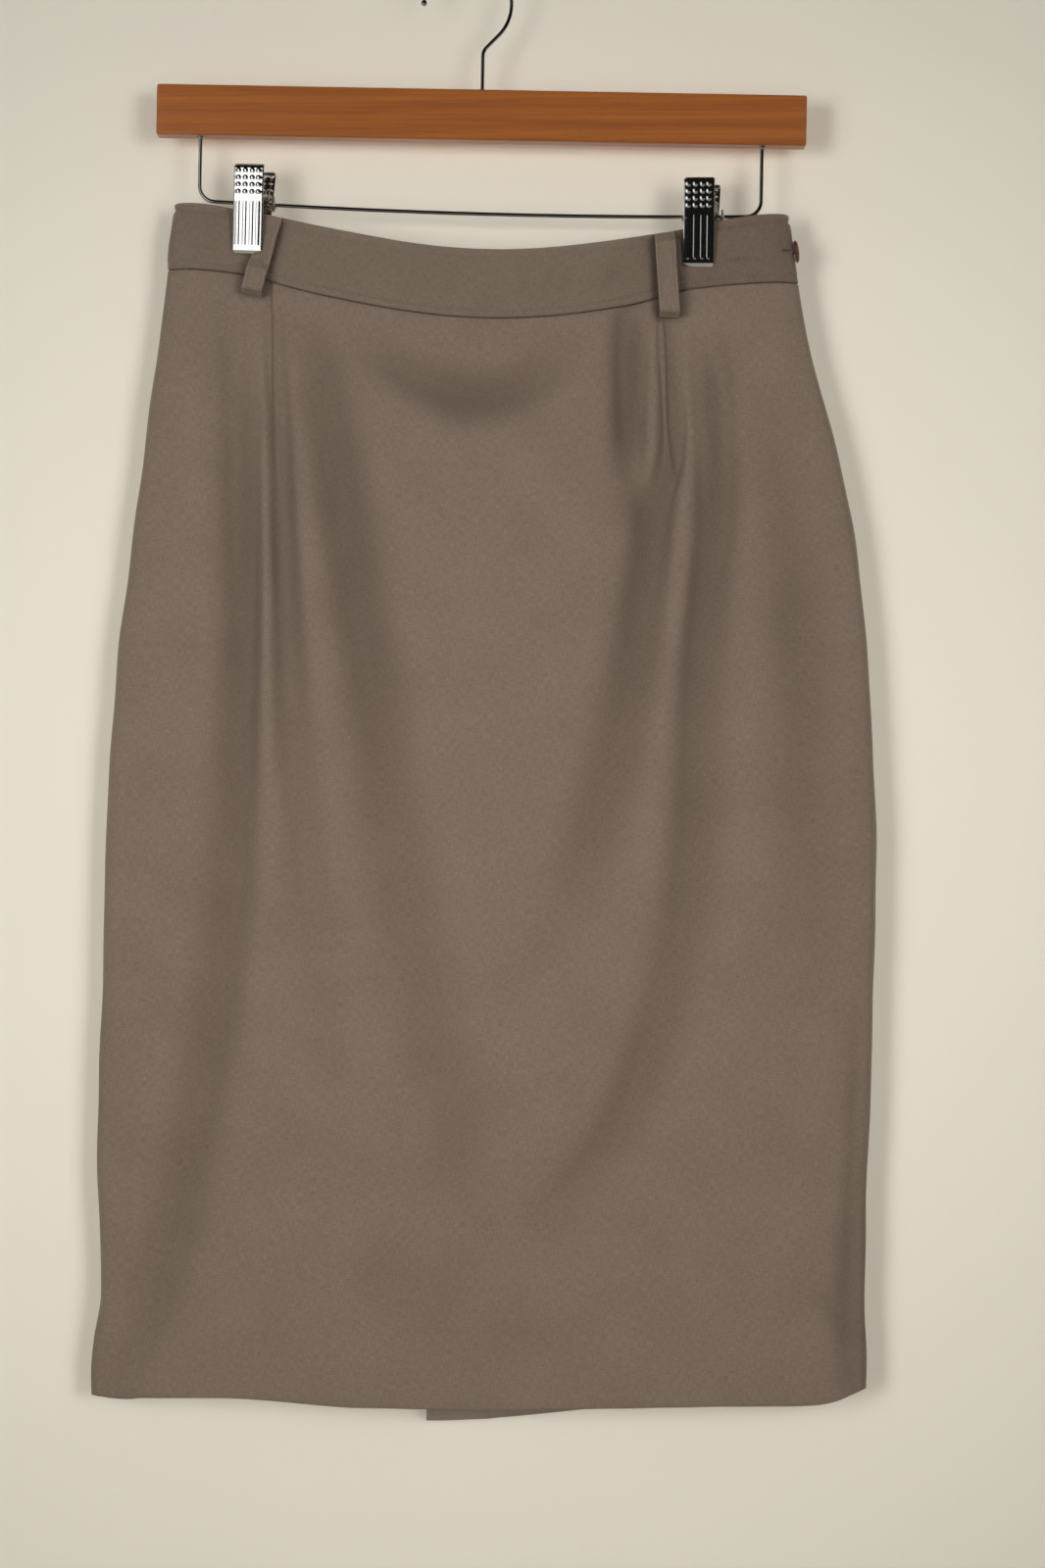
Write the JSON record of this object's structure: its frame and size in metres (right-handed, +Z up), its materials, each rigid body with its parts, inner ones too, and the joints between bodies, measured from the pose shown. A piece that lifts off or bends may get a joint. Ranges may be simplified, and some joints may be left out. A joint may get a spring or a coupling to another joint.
{
  "type": "pencil skirt on a clip hanger",
  "caption": "Straight knee-length skirt with waistband, belt loops, side zip and back vent, held flat by the two metal clips of a wooden hanger.",
  "frame": {"origin": "where the rail that the hanger hangs on touches the top of the hook's inner side", "axes": "+X is the wearer's left, +Y the skirt's back, +Z up; the front faces -Y"},
  "size_m": [0.4293, 0.0407, 0.8033],
  "materials": {
    "wool": "fine taupe wool twill with a soft dry sheen, pressed, two tones of yarn",
    "zip_cloth": "woven zip tape, matt brown",
    "zip_metal": "antiqued zip slider and tab, half gloss",
    "horn": "polished dark brown horn look",
    "cherry": "reddish brown wood with a satin lacquer, grain along the bar",
    "chrome": "bright plated wire and pressed sheet"
  },
  "bodies": {
    "skirt": {"front_panel": "wool", "back_panel_right": "wool", "back_panel_left": "wool", "band_front": "wool", "band_back": "wool", "loop_front_right": "wool", "loop_front_left": "wool", "loop_back_right": "wool", "loop_back_left": "wool", "zip_tape": "zip_cloth", "zip_slider": "zip_metal", "button": "horn", "hanger_bar": "cherry", "hanger_hook": "chrome", "hanger_rail": "chrome", "clip_right_front": "chrome", "clip_right_back": "chrome", "clip_right_barrel": "chrome", "clip_left_front": "chrome", "clip_left_back": "chrome", "clip_left_barrel": "chrome"},
    "zip_pull": {"zip_pull": "zip_metal"}
  },
  "joints": [
    {"name": "zip_pull_swing", "type": "hinge", "parent": "skirt", "child": "zip_pull", "pos_m": [0.1661, 0.00695, -0.1837], "axis": [0.989, -0.0804, 0.1242], "range_deg": [0, 150]}
  ]
}
